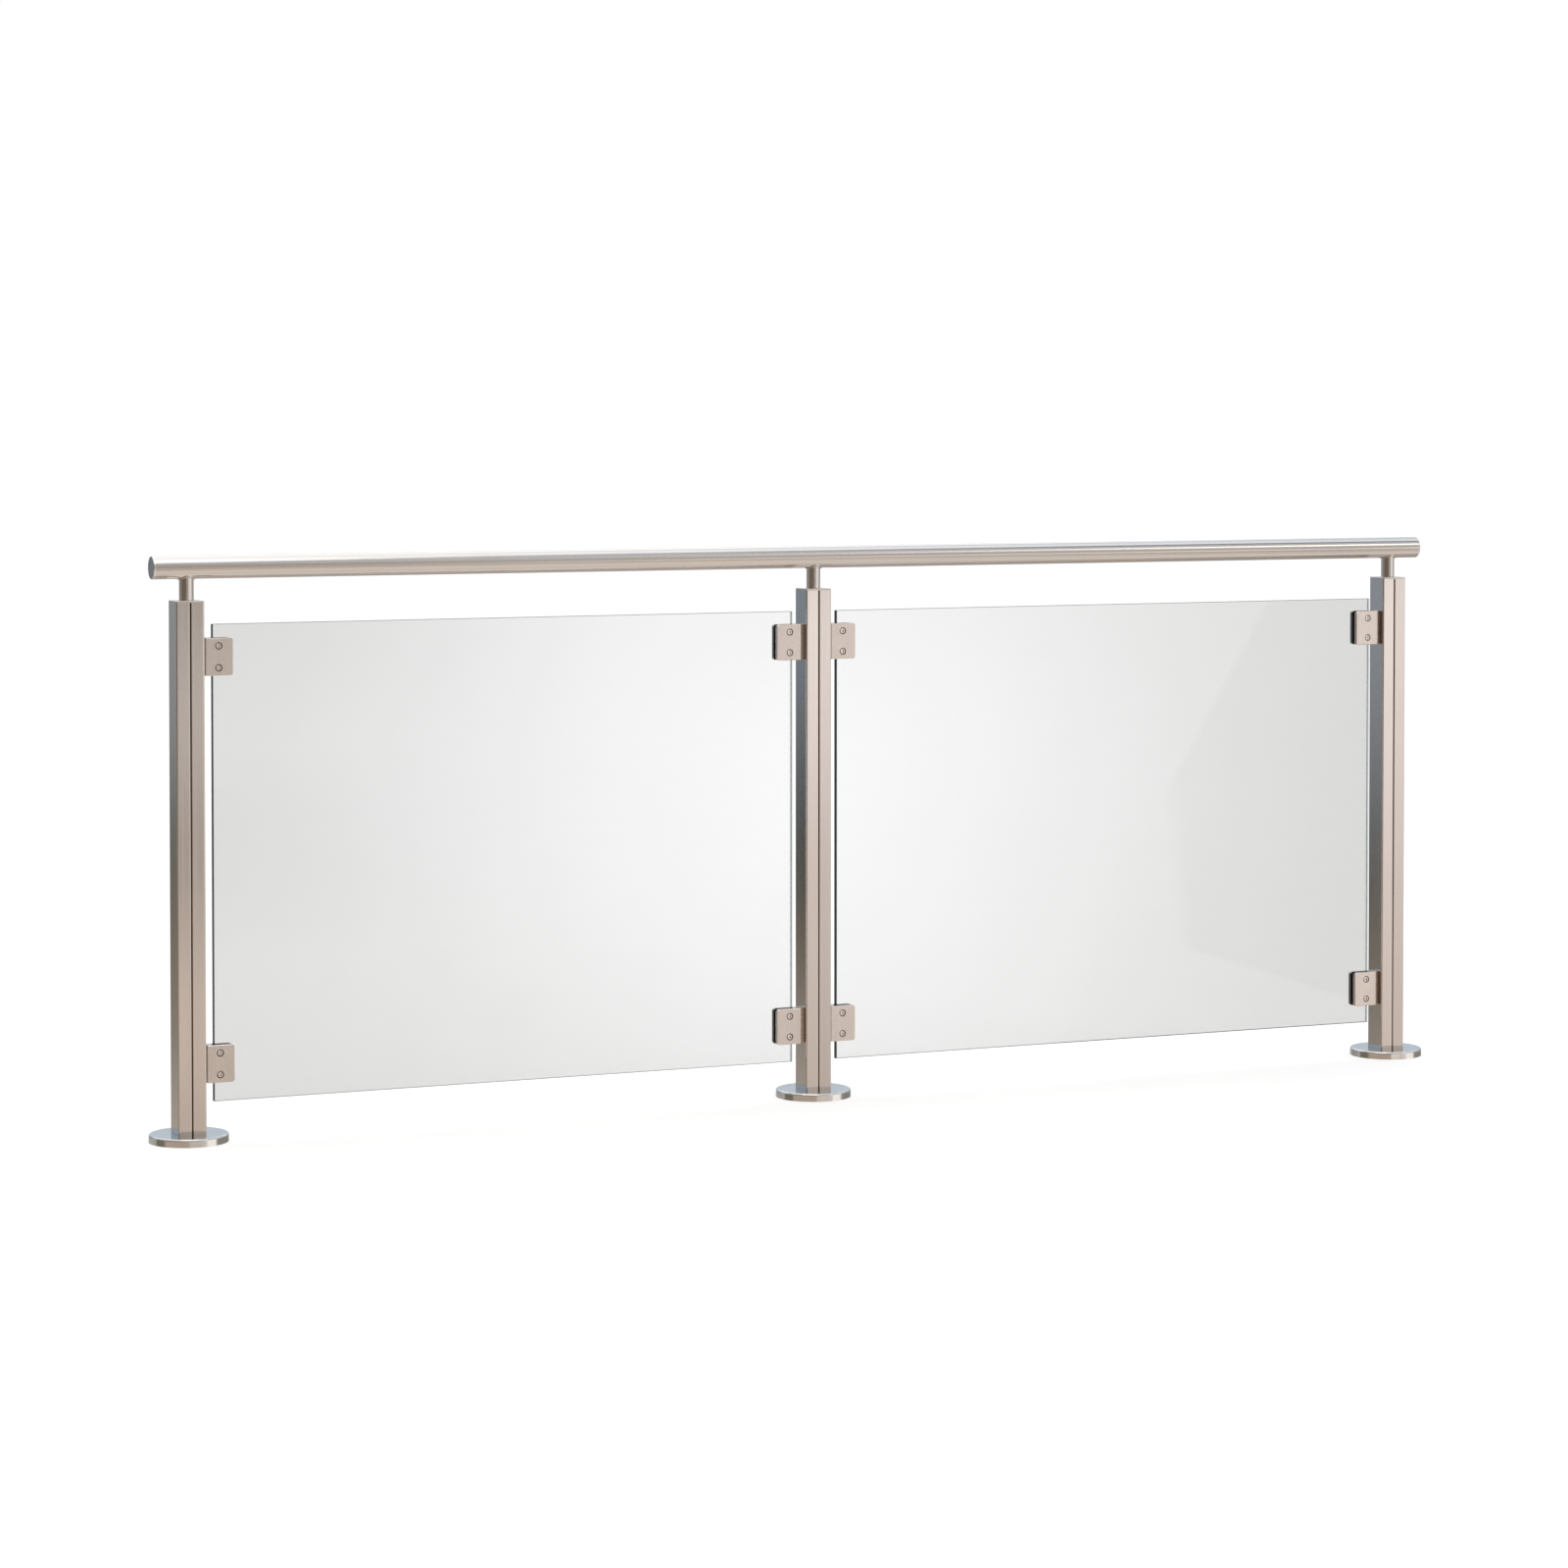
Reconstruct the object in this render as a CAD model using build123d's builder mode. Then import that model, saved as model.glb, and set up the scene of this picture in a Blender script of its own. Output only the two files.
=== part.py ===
from build123d import *
import os

os.makedirs("parts", exist_ok=True)

# Stainless railing section with two clear panels, sizes in millimetres.
# X runs along the handrail, Y points away from the side with the screws, Z is up.
# The origin lies on the floor, under the middle of the handrail.

# Bays, from post centre to post centre
left_bay = 1175.0
right_bay = 1220.0

# Handrail, a round tube with a plug in each end
rail_diameter = 40.0
rail_wall = 1.5
rail_overhang = 62.0
plug_flange = 4.5
plug_length = 14.0
plug_wall = 2.0
plug_edge = 0.8
plug_clearance = 0.15

# Thin curved collar under the handrail and the round stem that carries it, rising from the post top
rail_rise = 37.0
saddle_thickness = 1.5
saddle_border = 2.3
stem_diameter = 25.4
spigot_diameter = 16.0
spigot_clearance = 0.1

# Posts, each of two rectangular tubes side by side under one cap
post_width = 50.0
post_depth = 50.0
post_height = 930.0
post_wall = 1.5
post_corner = 2.5
cap_thickness = 3.0
cap_edge = 0.5
cap_lug_height = 6.0
cap_lug_clearance = 0.2

# Foot of each post, a plate with four countersunk anchor holes under a pressed cover
base_plate_diameter = 120.0
base_plate_thickness = 8.0
base_plate_edge = 0.8
anchor_circle = 92.0
anchor_hole_diameter = 11.0
anchor_sink_diameter = 19.0
anchor_sink_angle = 90
anchor_count = 4
cover_diameter = 137.0
cover_height = 14.0
cover_sheet = 1.2
cover_edge = 3.0
cover_clearance = 0.4

# Clear panels
panel_thickness = 10.0
panel_bottom = 66.0
panel_drop = 41.0
panel_gap = 19.0
panel_edge = 0.6
panel_hole_clearance = 1.0

# Panel clamps, a body on the post and a loose front plate with pads on both sides
clamp_height = 65.0
clamp_reach = 53.0
clamp_plate = 7.0
clamp_edge = 0.8
clamp_free_corner = 5.0
clamp_post_corner = 1.5
clamp_front_setback = 5.0
clamp_block = 16.5
clamp_from_panel_top = 56.0
clamp_from_panel_bottom = 66.0
pad_thickness = 2.0
pad_margin = 0.6

# Low socket head screws that close the clamps, sunk in wider bores of the front plates
screw_diameter = 6.0
screw_head_diameter = 10.0
screw_head_height = 4.0
screw_head_edge = 0.5
screw_head_sink = 0.3
screw_bore_gap = 1.3
screw_from_post = 27.7
screw_spacing = 37.6
screw_key = 4.0
screw_key_depth = 2.0
screw_end_gap = 1.0
screw_hole_clearance = 0.2
thread_clearance = 0.05

# Cheese head screws that hold the clamps, and the blind nuts in the post tubes
bolt_diameter = 6.0
bolt_head_diameter = 10.0
bolt_head_height = 4.0
bolt_key = 5.0
bolt_key_depth = 2.5
bolt_head_clearance = 0.4
bolt_head_recess = 5.0
nut_diameter = 9.0
nut_length = 14.0
nut_collar_diameter = 12.0
nut_collar = 2.5

# Places that follow from the sizes above
half_span = (left_bay + right_bay) / 2
post_x = {"left": -half_span, "middle": left_bay - half_span, "right": half_span}
rail_radius = rail_diameter / 2
rail_axis_height = post_height + rail_rise + rail_radius
rail_half_length = half_span + rail_overhang
tube_width = post_width / 2
tube_top = post_height - cap_thickness
saddle_radius = rail_radius + saddle_thickness
stem_radius = stem_diameter / 2
saddle_reach = stem_radius + saddle_border
half_post = post_width / 2
pad_front = panel_thickness / 2 + pad_thickness
clamp_face = pad_front + clamp_plate
panel_top = post_height - panel_drop
clamp_levels = {"upper": panel_top - clamp_from_panel_top, "lower": panel_bottom + clamp_from_panel_bottom}
screw_radius = screw_diameter / 2
screw_head_radius = screw_head_diameter / 2
bolt_radius = bolt_diameter / 2
bays = {"left": ("left", "middle"), "right": ("middle", "right")}

# Each end of each panel meets a post face, and the clamps reach from that face into the bay
panel_ends = []
for bay_name, (start_post, end_post) in bays.items():
    panel_ends.append((bay_name, "left", start_post, post_x[start_post] + half_post, 1))
    panel_ends.append((bay_name, "right", end_post, post_x[end_post] - half_post, -1))

clamp_places = []
for bay_name, end_name, post_name, face_x, reach in panel_ends:
    for level_name, level in clamp_levels.items():
        clamp_name = f"{bay_name}_panel_{level_name}_{end_name}"
        clamp_places.append((clamp_name, post_name, face_x, reach, level))


def save(piece, name):
    """Label a finished piece and write it under its own name."""
    piece.part.label = name
    export_step(piece.part, f"parts/{name}.step")


def upright(y):
    """Vertical plane at depth y, looking along +Y, with its normal towards the viewer."""
    return Plane.XZ.offset(-y)


def side_plane(face_x, reach):
    """Plane on a post face, with its normal pointing into the bay."""
    return Plane(origin=(face_x, 0, 0), x_dir=(0, reach, 0), z_dir=(reach, 0, 0))


def free_corners(sketch, reach):
    """The two corners of a clamp outline that point away from the post."""
    return sketch.vertices().sort_by(Axis.X)[-2:] if reach > 0 else sketch.vertices().sort_by(Axis.X)[:2]


def post_corners(sketch, reach):
    """The two corners of a clamp outline that point towards the post."""
    return free_corners(sketch, -reach)


def plate_outline(face_x, reach, start, end, height, level):
    """Rectangle from start to end off the post face, centred on the clamp's level."""
    with Locations((face_x + reach * (start + end) / 2, level)):
        Rectangle(end - start, height)


def make_handrail():
    """Round tube that ends at the flanges of its plugs."""
    with BuildPart() as rail:
        with BuildSketch(Plane.YZ.offset(-rail_half_length + plug_flange)):
            with Locations((0, rail_axis_height)):
                Circle(rail_radius)
                Circle(rail_radius - rail_wall, mode=Mode.SUBTRACT)
        extrude(amount=2 * (rail_half_length - plug_flange))
    save(rail, "handrail_tube")


def make_end_plug(name, outward):
    """Turned plug with a flange flush with the tube and a hollow spigot inside it."""
    spigot_radius = rail_radius - rail_wall - plug_clearance
    end_x = outward * rail_half_length
    with BuildPart() as plug:
        face = Plane(origin=(end_x, 0, rail_axis_height), z_dir=(outward, 0, 0))
        with BuildSketch(face):
            Circle(rail_radius)
        extrude(amount=-plug_flange)
        outer_rim = plug.edges().filter_by(GeomType.CIRCLE).sort_by(Axis.X)
        chamfer(outer_rim[-1] if outward > 0 else outer_rim[0], plug_edge)
        with BuildSketch(face.offset(-plug_flange)):
            Circle(spigot_radius)
            Circle(spigot_radius - plug_wall, mode=Mode.SUBTRACT)
        extrude(amount=-plug_length)
    save(plug, name)


def make_saddle(name, x):
    """Round collar on the stem's head, curved to the underside of the handrail."""
    with BuildPart() as saddle:
        with BuildSketch(Plane.YZ.offset(x - saddle_reach)):
            with Locations((0, rail_axis_height)):
                Circle(saddle_radius)
                Circle(rail_radius, mode=Mode.SUBTRACT)
        extrude(amount=2 * saddle_reach)
        with BuildSketch(Plane.XY.offset(rail_axis_height - saddle_radius)):
            with Locations((x, 0)):
                Circle(saddle_reach)
        extrude(amount=saddle_radius, mode=Mode.INTERSECT)
    save(saddle, name)


def make_stem(name, x):
    """Round bar with a spigot through the cap and a head coped to fit the saddle."""
    with BuildPart() as stem:
        with BuildSketch(Plane.XY.offset(post_height)):
            with Locations((x, 0)):
                Circle(stem_radius)
        extrude(amount=rail_axis_height - post_height)
        with BuildSketch(Plane.XY.offset(tube_top)):
            with Locations((x, 0)):
                Circle(spigot_diameter / 2)
        extrude(amount=cap_thickness)
        with BuildSketch(Plane.YZ.offset(x - stem_diameter)):
            with Locations((0, rail_axis_height)):
                Circle(saddle_radius)
        extrude(amount=2 * stem_diameter, mode=Mode.SUBTRACT)
    save(stem, name)


def make_post_cap(name, x):
    """Flat plate over both tubes, with a lug in each tube and a hole for the stem's spigot."""
    lug_width = tube_width - 2 * (post_wall + cap_lug_clearance)
    lug_depth = post_depth - 2 * (post_wall + cap_lug_clearance)
    with BuildPart() as cap:
        with BuildSketch(Plane.XY.offset(tube_top)):
            with Locations((x, 0)):
                RectangleRounded(post_width, post_depth, post_corner)
        extrude(amount=cap_thickness)
        chamfer(cap.faces().sort_by(Axis.Z)[-1].edges(), cap_edge)
        with BuildSketch(Plane.XY.offset(tube_top - cap_lug_height)):
            with Locations((x, 0)):
                with GridLocations(tube_width, tube_width, 2, 1):
                    RectangleRounded(lug_width, lug_depth, post_corner - post_wall)
        extrude(amount=cap_lug_height)
        with Locations((x, 0, post_height)):
            Hole(spigot_diameter / 2 + spigot_clearance, depth=cap_thickness)
    save(cap, name)


def make_post_tube(name, x, post_name, outward):
    """Rectangular tube of a post, drilled for the blind nuts where it carries clamps."""
    tube_x = x + outward * tube_width / 2
    with BuildPart() as tube:
        with BuildSketch(Plane.XY.offset(base_plate_thickness)):
            with Locations((tube_x, 0)):
                RectangleRounded(tube_width, post_depth, post_corner)
                RectangleRounded(
                    tube_width - 2 * post_wall,
                    post_depth - 2 * post_wall,
                    post_corner - post_wall,
                    mode=Mode.SUBTRACT,
                )
        extrude(amount=tube_top - base_plate_thickness)
        for clamp_name, clamp_post, face_x, reach, level in clamp_places:
            if clamp_post == post_name and reach == outward:
                with Locations(side_plane(face_x, reach)):
                    with Locations((0, level)):
                        Hole(nut_diameter / 2, depth=tube_width / 2)
    save(tube, name)


def make_base_plate(name, x):
    """Round foot plate with countersunk anchor holes on a circle."""
    with BuildPart() as plate:
        with BuildSketch():
            with Locations((x, 0)):
                Circle(base_plate_diameter / 2)
        extrude(amount=base_plate_thickness)
        chamfer(plate.faces().sort_by(Axis.Z)[-1].edges(), base_plate_edge)
        with Locations((x, 0, base_plate_thickness)):
            with PolarLocations(anchor_circle / 2, anchor_count):
                CounterSinkHole(
                    anchor_hole_diameter / 2,
                    anchor_sink_diameter / 2,
                    counter_sink_angle=anchor_sink_angle,
                )
    save(plate, name)


def make_base_cover(name, x):
    """Pressed cover with a rounded rim and a square opening around the post."""
    radius = cover_diameter / 2
    with BuildPart() as cover:
        with BuildSketch(Plane(origin=(x, 0, 0), x_dir=(1, 0, 0), z_dir=(0, -1, 0))):
            with BuildLine():
                Line((0, cover_height), (radius - cover_edge, cover_height))
                RadiusArc((radius - cover_edge, cover_height), (radius, cover_height - cover_edge), cover_edge)
                Line((radius, cover_height - cover_edge), (radius, 0))
                Line((radius, 0), (radius - cover_sheet, 0))
                Polyline(
                    (radius - cover_sheet, 0),
                    (radius - cover_sheet, cover_height - cover_edge),
                    (radius - cover_edge, cover_height - cover_sheet),
                    (0, cover_height - cover_sheet),
                    (0, cover_height),
                )
            make_face()
        revolve(axis=Axis((x, 0, 0), (0, 0, 1)))
        with BuildSketch():
            with Locations((x, 0)):
                RectangleRounded(
                    post_width + 2 * cover_clearance,
                    post_depth + 2 * cover_clearance,
                    post_corner + cover_clearance,
                )
        extrude(amount=cover_height, mode=Mode.SUBTRACT)
    save(cover, name)


def make_panel(name, bay_name):
    """Clear sheet with polished edges, drilled for the clamp screws."""
    start_post, end_post = bays[bay_name]
    start_x = post_x[start_post] + half_post + panel_gap
    end_x = post_x[end_post] - half_post - panel_gap
    with BuildPart() as panel:
        with BuildSketch(upright(panel_thickness / 2)):
            with Locations(((start_x + end_x) / 2, (panel_bottom + panel_top) / 2)):
                Rectangle(end_x - start_x, panel_top - panel_bottom)
        extrude(amount=panel_thickness)
        chamfer(panel.edges(), panel_edge)
        for clamp_name, post_name, face_x, reach, level in clamp_places:
            if clamp_name.startswith(name):
                with Locations(upright(-panel_thickness / 2)):
                    with Locations((face_x + reach * screw_from_post, level)):
                        with GridLocations(screw_spacing, screw_spacing, 1, 2):
                            Hole(screw_radius + panel_hole_clearance, depth=panel_thickness)
    save(panel, name)


def make_clamp_back(name, face_x, reach, level):
    """Clamp body: a block on the post face and the plate behind the panel."""
    with BuildPart() as back:
        with BuildSketch(upright(clamp_face)) as outline:
            plate_outline(face_x, reach, 0, clamp_reach, clamp_height, level)
            fillet(free_corners(outline, reach), clamp_free_corner)
        extrude(amount=clamp_plate)
        chamfer(back.faces().sort_by(Axis.Y)[-1].edges(), clamp_edge)
        with BuildSketch(upright(pad_front)):
            plate_outline(face_x, reach, 0, clamp_block, clamp_height, level)
        extrude(amount=2 * pad_front)
        with Locations(side_plane(face_x + reach * clamp_block, reach)):
            with Locations((0, level)):
                CounterBoreHole(
                    bolt_radius + screw_hole_clearance,
                    bolt_head_diameter / 2 + bolt_head_clearance,
                    bolt_head_recess,
                    depth=clamp_block,
                )
        with Locations(upright(pad_front)):
            with Locations((face_x + reach * screw_from_post, level)):
                with GridLocations(screw_spacing, screw_spacing, 1, 2):
                    Hole(screw_radius + thread_clearance, depth=clamp_plate)
    save(back, name)


def make_clamp_front(name, face_x, reach, level):
    """Loose front plate of a clamp with two stepped holes for the screws."""
    with BuildPart() as front:
        with BuildSketch(upright(-pad_front)) as outline:
            plate_outline(face_x, reach, clamp_front_setback, clamp_reach, clamp_height, level)
            fillet(free_corners(outline, reach), clamp_free_corner)
            fillet(post_corners(outline, reach), clamp_post_corner)
        extrude(amount=clamp_plate)
        chamfer(front.faces().sort_by(Axis.Y)[0].edges(), clamp_edge)
        with Locations(upright(-clamp_face)):
            with Locations((face_x + reach * screw_from_post, level)):
                with GridLocations(screw_spacing, screw_spacing, 1, 2):
                    CounterBoreHole(
                        screw_radius + screw_hole_clearance,
                        screw_head_radius + screw_bore_gap,
                        screw_head_sink + screw_head_height,
                        depth=clamp_plate,
                    )
    save(front, name)


def make_pads(name, face_x, reach, level):
    """Soft pads of a clamp, one on each face of the panel."""
    start = clamp_block + pad_margin
    end = clamp_reach - pad_margin
    with BuildPart() as pads:
        for back_y in (pad_front, -panel_thickness / 2):
            with BuildSketch(upright(back_y)) as outline:
                plate_outline(face_x, reach, start, end, clamp_height - 2 * pad_margin, level)
                fillet(free_corners(outline, reach), clamp_free_corner - pad_margin)
                with Locations((face_x + reach * screw_from_post, level)):
                    with GridLocations(screw_spacing, screw_spacing, 1, 2):
                        Circle(screw_radius + panel_hole_clearance, mode=Mode.SUBTRACT)
            extrude(amount=pad_thickness)
    save(pads, name)


def make_clamp_screws():
    """Screws with hexagon sockets, two through each clamp."""
    head_top = -clamp_face + screw_head_sink
    seat = head_top + screw_head_height
    tip = clamp_face - screw_end_gap
    with BuildPart() as screws:
        for clamp_name, post_name, face_x, reach, level in clamp_places:
            for offset in (-screw_spacing / 2, screw_spacing / 2):
                x = face_x + reach * screw_from_post
                z = level + offset
                with BuildSketch(Plane(origin=(x, 0, z), x_dir=(1, 0, 0), z_dir=(0, 0, 1))):
                    with BuildLine():
                        Polyline(
                            (0, head_top),
                            (screw_head_radius - screw_head_edge, head_top),
                            (screw_head_radius, head_top + screw_head_edge),
                            (screw_head_radius, seat),
                            (screw_radius, seat),
                            (screw_radius, tip),
                            (0, tip),
                            close=True,
                        )
                    make_face()
                revolve(axis=Axis((x, 0, z), (0, 1, 0)))
                with BuildSketch(upright(head_top)):
                    with Locations((x, z)):
                        RegularPolygon(screw_key / 2, 6, major_radius=False)
                extrude(amount=-screw_key_depth, mode=Mode.SUBTRACT)
    save(screws, "clamp_screws")


def make_clamp_bolts():
    """Cheese head screws from the clamp blocks into the posts, one in each clamp."""
    seat = clamp_block - bolt_head_recess
    with BuildPart() as bolts:
        for clamp_name, post_name, face_x, reach, level in clamp_places:
            seat_plane = side_plane(face_x + reach * seat, reach)
            with BuildSketch(seat_plane):
                with Locations((0, level)):
                    Circle(bolt_head_diameter / 2)
            extrude(amount=bolt_head_height)
            with BuildSketch(seat_plane):
                with Locations((0, level)):
                    Circle(bolt_radius)
            extrude(amount=-(seat + nut_length))
            with BuildSketch(seat_plane.offset(bolt_head_height)):
                with Locations((0, level)):
                    RegularPolygon(bolt_key / 2, 6, major_radius=False)
            extrude(amount=-bolt_key_depth, mode=Mode.SUBTRACT)
    save(bolts, "clamp_mounting_screws")


def make_blind_nuts():
    """Blind nuts set flush in the post walls, each with its pressed collar behind the wall."""
    with BuildPart() as nuts:
        for clamp_name, post_name, face_x, reach, level in clamp_places:
            face = side_plane(face_x, reach)
            with BuildSketch(face):
                with Locations((0, level)):
                    Circle(nut_diameter / 2)
                    Circle(bolt_radius + thread_clearance, mode=Mode.SUBTRACT)
            extrude(amount=-nut_length)
            with BuildSketch(face.offset(-post_wall)):
                with Locations((0, level)):
                    Circle(nut_collar_diameter / 2)
                    Circle(nut_diameter / 2, mode=Mode.SUBTRACT)
            extrude(amount=-nut_collar)
    save(nuts, "blind_nuts")


make_handrail()
make_end_plug("handrail_plug_left", -1)
make_end_plug("handrail_plug_right", 1)

for post_name, x in post_x.items():
    make_saddle(f"{post_name}_saddle", x)
    make_stem(f"{post_name}_stem", x)
    make_post_cap(f"{post_name}_post_cap", x)
    make_post_tube(f"{post_name}_post_tube_1", x, post_name, -1)
    make_post_tube(f"{post_name}_post_tube_2", x, post_name, 1)
    make_base_plate(f"{post_name}_base_plate", x)
    make_base_cover(f"{post_name}_base_cover", x)

for bay_name in bays:
    make_panel(f"{bay_name}_panel", bay_name)

for clamp_name, post_name, face_x, reach, level in clamp_places:
    make_clamp_back(f"{clamp_name}_clamp_back", face_x, reach, level)
    make_clamp_front(f"{clamp_name}_clamp_front", face_x, reach, level)
    make_pads(f"{clamp_name}_clamp_pads", face_x, reach, level)

make_clamp_screws()
make_clamp_bolts()
make_blind_nuts()
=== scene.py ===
import math

import bpy
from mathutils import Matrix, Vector

# Looks of a stainless railing section with two clear panels, in metres, in the CAD frame.
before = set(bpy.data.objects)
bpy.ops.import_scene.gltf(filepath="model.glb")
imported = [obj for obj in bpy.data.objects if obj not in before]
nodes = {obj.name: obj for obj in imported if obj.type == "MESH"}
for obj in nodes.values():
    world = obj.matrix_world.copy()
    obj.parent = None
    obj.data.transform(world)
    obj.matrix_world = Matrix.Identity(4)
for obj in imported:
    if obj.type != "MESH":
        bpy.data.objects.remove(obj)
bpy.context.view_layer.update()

# Axes and plain tones
X_AXIS = (1.0, 0.0, 0.0)
Y_AXIS = (0.0, 1.0, 0.0)
Z_AXIS = (0.0, 0.0, 1.0)
BLACK = (0.0, 0.0, 0.0)
WHITE = (1.0, 1.0, 1.0)

# Camera of the photograph
CAMERA_PLACE = (-3.1398, -6.9870, 1.2729)
CAMERA_YAW = 0.41266
CAMERA_PITCH = 0.03162
CAMERA_SENSOR = 36.0
IMAGE_SIZE = 1600
FOCAL_PIXELS = 4284.4
OPTICAL_AXIS_Y = 543.8

# Soft lamp above the part
LAMP_PLACE = (-1.2, -1.6, 4.2)
LAMP_AIM = (0.0, 0.0, 0.4)
LAMP_WIDTH = 3.0
LAMP_DEPTH = 2.4
LAMP_POWER = 26.0

# Metal colours, linear
POST_STEEL = (0.80, 0.735, 0.69)
# Painted shade for the grooves between the tubes of each post
SEAM_SHADE = (0.20, 0.165, 0.14)
RAIL_STEEL = (0.78, 0.74, 0.705)
PLUG_STEEL = (0.86, 0.84, 0.81)
CLAMP_STEEL = (0.91, 0.83, 0.78)
COVER_STEEL = (0.84, 0.84, 0.83)
SCREW_STEEL = (0.90, 0.82, 0.77)
# Painted highlight at the bottom of the screw sockets, and painted shade in the bore seats and down the
# screws' sides
SOCKET_HIGHLIGHT = (0.99, 0.94, 0.90)
SUNK_SHADE = (0.14, 0.12, 0.105)
FOOT_STEEL = (0.60, 0.58, 0.56)
# Painted shade: share of the post steel's colour on the second tubes of the middle and right posts
SHADED_TUBE_SHARE = 0.92

# Mottling: how much darker and lighter a tone goes, and how far the roughness swings down and up
BRUSHED_TONES, BRUSHED_GLOSS = (0.06, 0.05), (0.04, 0.04)
COVER_TONES, COVER_GLOSS = (0.05, 0.03), (0.03, 0.05)
SATIN_TONES, SATIN_GLOSS = (0.06, 0.05), (0.05, 0.05)
SCREW_TONES, SCREW_GLOSS = (0.04, 0.03), (0.03, 0.03)
FLOOR_TONES = (0.02, 0.02)
BRUSHED_CLOUD_SHARE = 0.97
SATIN_CLOUD_SHARE = 0.95

# Relief of the metals
RELIEF_STRENGTH = 0.25
RELIEF_DISTANCE = 0.0002

# Noise scales per metre. The grain of brushed steel and its streaks have one along them and one across.
GRAIN_ALONG, GRAIN_ACROSS = 18, 2600
STREAKS_ALONG, STREAKS_ACROSS = 1.6, 260
BRUSHED_CLOUDS = 5.0
SATIN_GRIT = 1500.0
SATIN_CLOUDS = 28.0
SCREW_GRIT = 1200.0
COVER_SMEARS = 30.0
RIM_GRIND = 700.0
RUBBER_SPECKS = 900.0
# Noise that wobbles the edge of the painted shade in the clear panels
PANEL_SHADE_NOISE = 3.0
PANEL_BANDS = 6.0
FLOOR_MOTTLE = 4.0

# Noise scale of the rings on a base cover, for the width of the cover
COVER_RINGS = 420.0

# Stretches of a noise over which a tone or a gloss changes
TONE_SPAN = (0.30, 0.70)
CLOUD_SPAN = (0.35, 0.75)
GLOSS_SPAN = (0.25, 0.75)
SMEAR_SPAN = (0.30, 0.75)
SPECK_SPAN = (0.35, 0.70)

# Sides that get painted shade on satin pieces, as an axis and the stretch of its share in the normal over
# which the
# shade comes in: the ends along X, or all sides round the Y axis
ENDS_ALONG_X = (X_AXIS, (0.8, 0.98))
ALL_ROUND_Y = (Y_AXIS, (0.6, 0.2))

# Painted shade in the grooves where the two tubes of each post meet: place along X, and how far the shade
# reaches to each side
SHADED_SEAMS = ((-1.1975, 0.0024), (-0.0225, 0.0017), (1.1975, 0.0014))
SEAM_INNER = 0.0006

# Clamp screws: place along Y of their sockets and of the seats of their bores, and how far each tone
# reaches. The sockets get a painted highlight, the seats painted shade.
SOCKET_DEPTH, SOCKET_REACH = -0.0117, 0.0012
SEAT_DEPTH, SEAT_REACH = -0.0097, 0.0006

# Stretches of a normal's share along Y: from askew to straight ahead, and from a screw's side to its head
LOOKS_AHEAD = (0.75, 0.9)
SIDE_TO_HEAD = (0.3, 0.6)

# Clear panels: the clearest place, and the distances from it over which painted shade turns them grey
PANEL_MIDDLE = (-0.06, 0.0, 0.55)
PANEL_FADE = (-0.10, 1.50)
PANEL_CLEAR = (0.928, 0.924, 0.917)
PANEL_GREY = (0.694, 0.683, 0.674)
# How far that noise moves the edge of the painted shade
PANEL_SHADE_WOBBLE = 0.07
PANEL_BAND_SLANT = (0.94, 0.0, -0.34)
PANEL_IOR = 1.49
PANEL_ABSORB_COLOUR = (0.45, 0.72, 0.62)
PANEL_ABSORB_DENSITY = 5.0

# Foot of the panels, with painted shade: the height up to which they are greyer and darker, how much so at
# the floor, and the stretch along X over which both fall to half
FOOT_GREY_HEIGHT, FOOT_GREY_REACH = 0.6, 0.22
FOOT_DARK_HEIGHT, FOOT_DARK_SHARE = 0.45, 0.03
FOOT_HALVING = (-0.4, 0.5)

# Faint slanted reflection in the right panel, darker towards the right post: its three sides as (direction
# inward, distance, soft edge), and how much darker it is
SHEEN_SIDES = (
    ((0.848, 0.0, -0.530), 0.3205, 0.010),
    ((0.995, 0.0, 0.104), 0.771, 0.030),
    ((0.311, 0.0, 0.950), 0.4545, 0.010),
)
SHEEN_SHARE = 0.042

# Ends and rims of the panels, with painted shade on the strips and the left ends. The strips at the ends of
# the clear faces begin and end at these shares of the length of a panel.
LEFT_STRIP = (0.0009, 0.0011)
RIGHT_STRIP = (0.9981, 0.9983)
PANEL_LEFT_END = (0.030, 0.055, 0.045)
PANEL_RIGHT_END = (0.10, 0.22, 0.20)
PANEL_RIGHT_GLIMPSE = (0.40, 0.46, 0.45)
PANEL_TOP_RIM = (0.30, 0.285, 0.22)
RIM_LEFT_TO_RIGHT = (-0.5, 0.5)
RIM_TOP_TO_END = (0.4, 0.7)
RIM_ROUGHNESS = (0.30, 0.42)

# Shares in a normal beyond which a face of a panel counts as looking along an axis, or down
FACES_ALONG = 0.9
FACES_DOWN = -0.5

# Soft pads
RUBBER_DARK = (0.020, 0.021, 0.022)
RUBBER_DUSTY = (0.045, 0.046, 0.047)
RUBBER_ROUGHNESS = (0.62, 0.78)

# Floor
FLOOR_HALF_SIDE = 60.0
FLOOR_COLOUR = (0.80, 0.79, 0.78)
FLOOR_OWN_WHITE = 0.42

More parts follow.
